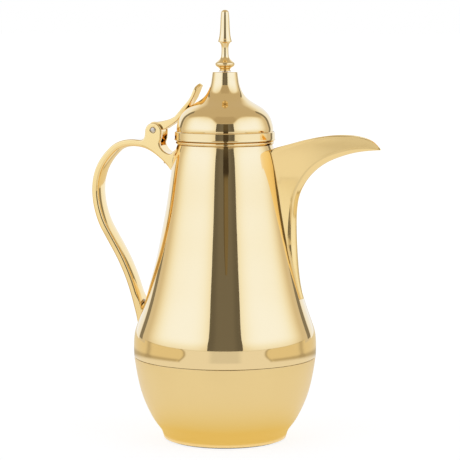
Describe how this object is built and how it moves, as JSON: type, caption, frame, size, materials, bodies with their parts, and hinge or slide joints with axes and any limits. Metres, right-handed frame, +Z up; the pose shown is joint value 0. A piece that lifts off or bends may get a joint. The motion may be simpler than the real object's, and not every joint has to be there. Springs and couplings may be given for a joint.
{
  "type": "coffee pot",
  "caption": "Gulf coffee pot (dallah) with a vacuum liner: pear-shaped gold body, open curved beak, strap handle and a hinged domed lid opened by a thumb lever.",
  "frame": {"origin": "centre of the base pad's flat underside, on the pot's axis", "axes": "+Z up along the pot's axis, +X towards the spout's tip, -X towards the handle, hinge pin along Y"},
  "size_m": [0.2222, 0.138, 0.3234],
  "materials": {
    "polished_gold": "polished",
    "satin_gold": "satin",
    "steel": "satin",
    "silvered_glass": "polished",
    "white_plastic": "satin",
    "silicone": "matte",
    "black_rubber": "matte",
    "foam": "matte"
  },
  "bodies": {
    "pot": {"upper_shell": "polished_gold", "neck_bead": "polished_gold", "spout": "polished_gold", "handle": "polished_gold", "lower_shell": "satin_gold", "hinge_pin": "steel", "handle_backing_plate": "steel", "handle_lower_washer": "steel", "handle_screw_left": "steel", "handle_screw_right": "steel", "handle_screw_lower": "steel", "spout_screw_upper": "steel", "spout_screw_lower": "steel", "base_plate": "steel", "liner_outer_flask": "silvered_glass", "liner_inner_flask": "silvered_glass", "pour_collar": "white_plastic", "coupling_ring": "white_plastic", "collar_gasket": "silicone", "seam_seal": "silicone", "base_pad": "black_rubber", "liner_cushion": "black_rubber"},
    "lid": {"lid_dome": "polished_gold", "lid_band": "polished_gold", "finial": "polished_gold", "lid_lever": "polished_gold", "lever_screw_left": "steel", "lever_screw_right": "steel", "finial_stud": "steel", "finial_nut": "steel", "finial_washer": "steel", "stopper_nut": "steel", "stopper_plug": "white_plastic", "seal_retainer": "white_plastic", "stopper_seal": "silicone", "lid_insulation": "foam"}
  },
  "joints": [
    {"name": "lid_hinge", "type": "hinge", "parent": "pot", "child": "lid", "pos_m": [-0.054, 0, 0.2333], "axis": [0, -1, 0], "range_deg": [0, 95]}
  ]
}
